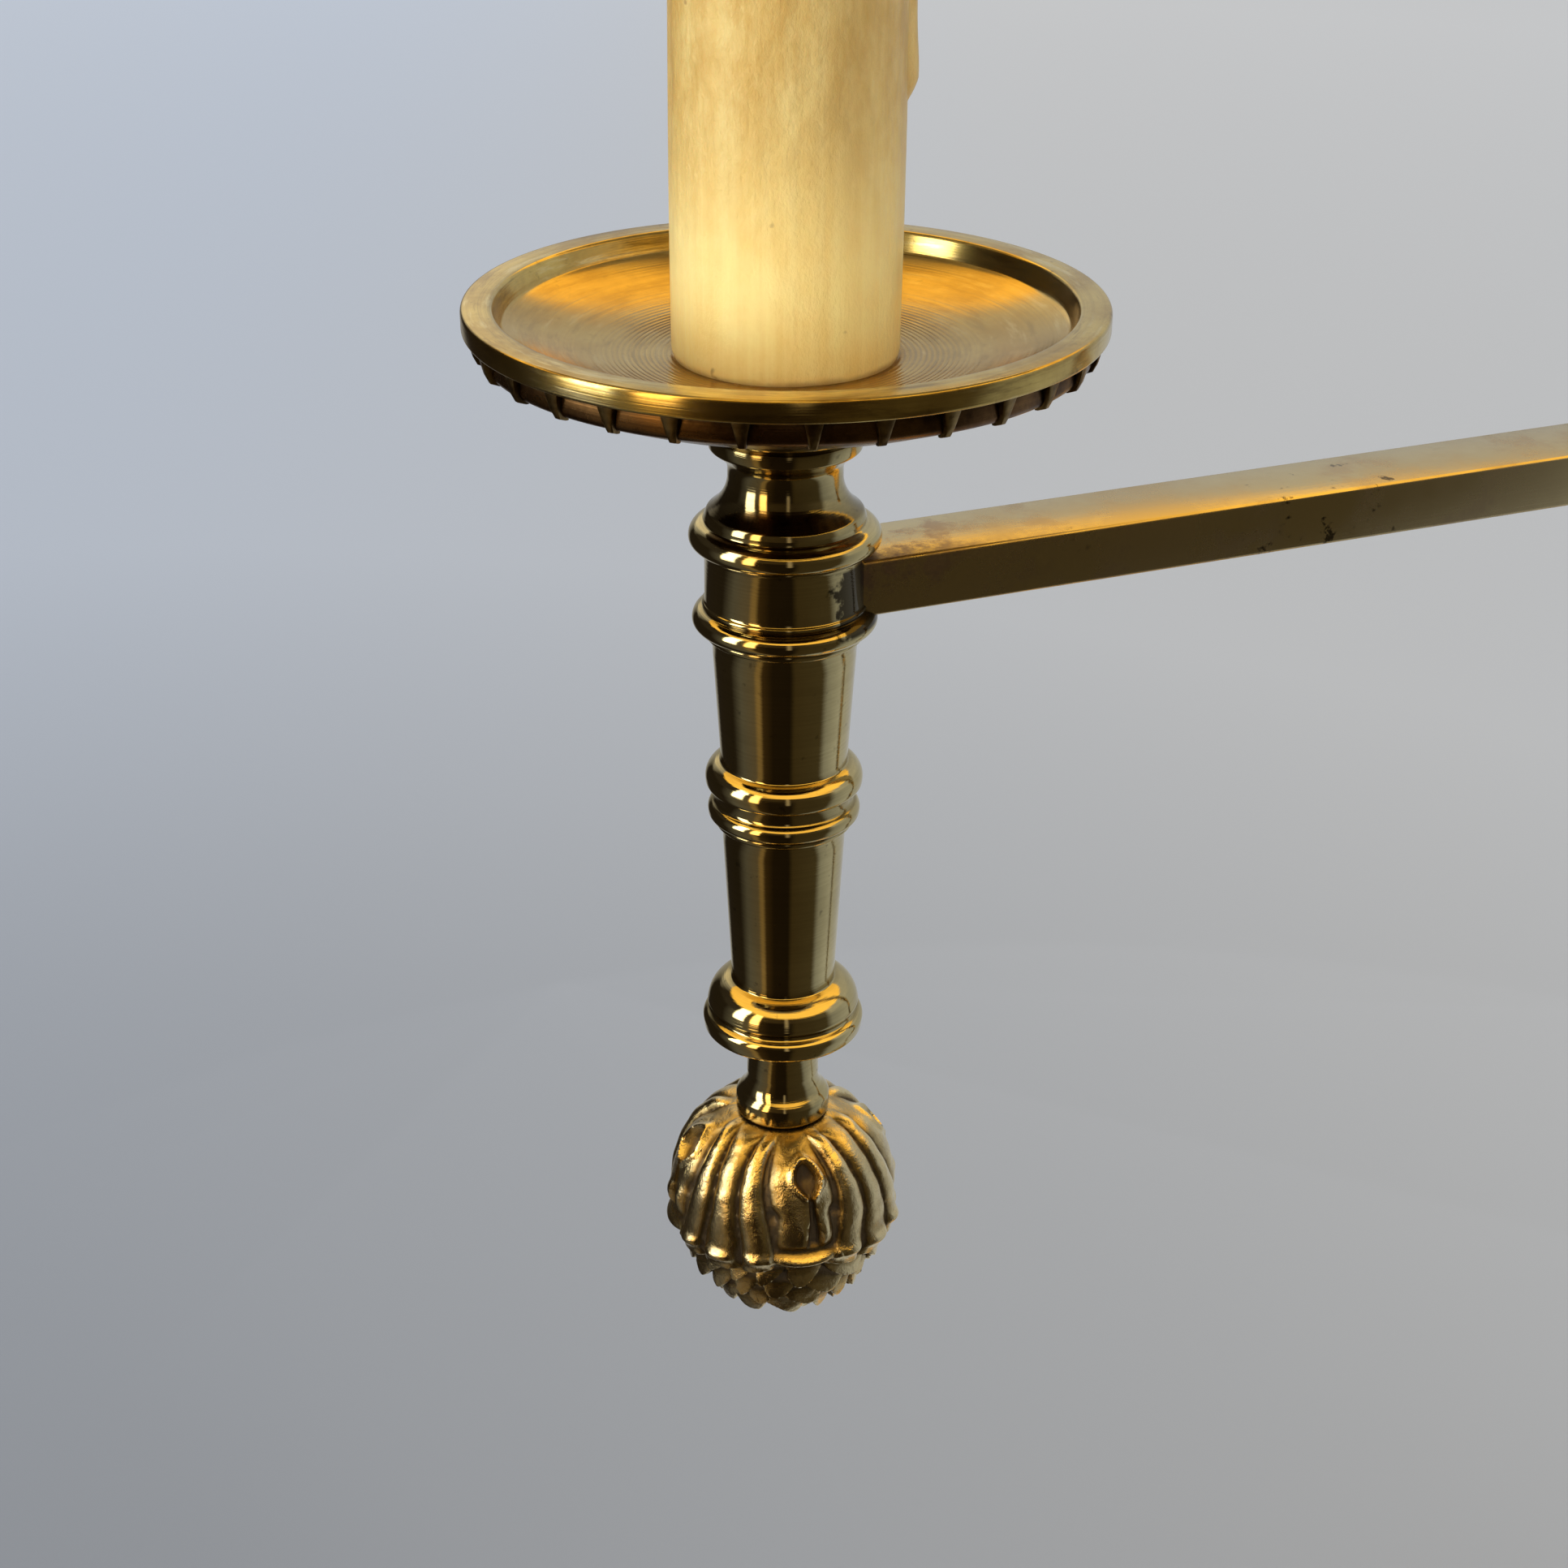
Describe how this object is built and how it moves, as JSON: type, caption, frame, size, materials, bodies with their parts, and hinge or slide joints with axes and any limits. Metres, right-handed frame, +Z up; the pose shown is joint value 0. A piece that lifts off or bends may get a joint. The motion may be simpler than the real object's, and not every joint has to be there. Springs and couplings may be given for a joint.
{
  "type": "reading lamp",
  "caption": "Brass table reading lamp with a telescopic pole, a swing arm, a candle column with drip pan and pine cone finial, a tilting shade and a push switch.",
  "frame": {"origin": "centre of the base's underside, on the pole axis, on the table", "axes": "+Z up along the pole; the arm runs from the pole along -X; the cord inlet faces +Y"},
  "size_m": [0.3563, 0.162, 0.5287],
  "materials": {
    "brass": "aged, hand polished",
    "bronze": "plain machined",
    "steel": "zinc plated",
    "cast_iron": "as cast",
    "felt": "felt",
    "candle": "aged ivory, waxed card tube",
    "black_plastic": "moulded, satin",
    "nylon": "natural",
    "glass": "clear",
    "filament": "coated rods",
    "lacquer": "dark green lacquer outside, ivory inside"
  },
  "bodies": {
    "stand": {"base_felt": "felt", "base_weight": "cast_iron", "base_shell": "brass", "foot_washer": "steel", "foot_nut": "steel", "foot_rod": "steel", "pole_foot": "brass", "pole_tube": "brass", "clamp_collar": "brass", "cord_bush": "black_plastic", "switch_body": "black_plastic", "switch_bezel": "brass"},
    "button": {"switch_button": "black_plastic"},
    "clamp_screw": {"thumbscrew": "brass"},
    "riser": {"riser_tube": "brass", "riser_slider": "nylon", "hub_seat": "brass", "swing_stop_pin": "steel", "hub_spigot": "steel", "hub_cap": "brass", "finial_stud": "steel", "pole_spool": "brass", "pole_finial": "brass"},
    "arm": {"arm_hub": "brass", "hub_bushes": "bronze", "arm_bar": "brass", "column_collar": "brass", "column_neck": "brass", "pan_cup": "brass", "drip_pan": "brass", "wire_nipple": "steel", "candle_sleeve": "candle", "lampholder": "black_plastic", "socket_shell": "bronze", "centre_contact": "bronze", "bulb_cap": "steel", "bulb_glass": "glass", "filament": "filament", "shade_bracket": "brass", "bracket_nut": "brass", "pivot_screws": "brass", "stem_upper": "brass", "mid_rings": "brass", "stem_lower": "brass", "lower_ring": "brass", "finial_spool": "brass", "finial": "brass", "tie_rod": "steel"},
    "shade": {"shade_cone": "lacquer", "shade_rim_lower": "brass", "shade_rim_upper": "brass", "shade_bushes": "brass"}
  },
  "joints": [
    {"name": "riser_slide", "type": "slide", "parent": "stand", "child": "riser", "axis": [0, 0, 1], "range_m": [-0.05, 0.05]},
    {"name": "arm_swing", "type": "hinge", "parent": "riser", "child": "arm", "pos_m": [0, 0, 0.33], "axis": [0, 0, 1], "range_deg": [-150, 150]},
    {"name": "shade_tilt", "type": "hinge", "parent": "arm", "child": "shade", "pos_m": [-0.2, 0, 0.47305], "axis": [0, 1, 0], "range_deg": [-30, 30]},
    {"name": "clamp_turn", "type": "hinge", "parent": "stand", "child": "clamp_screw", "pos_m": [0.02, 0, 0.2065], "axis": [1, 0, 0], "range_deg": [0, 180]},
    {"name": "switch_press", "type": "slide", "parent": "stand", "child": "button", "axis": [0, 0, 1], "range_m": [-0.003, 0], "stiffness_N_per_m": 600, "springref_m": 0.001}
  ]
}
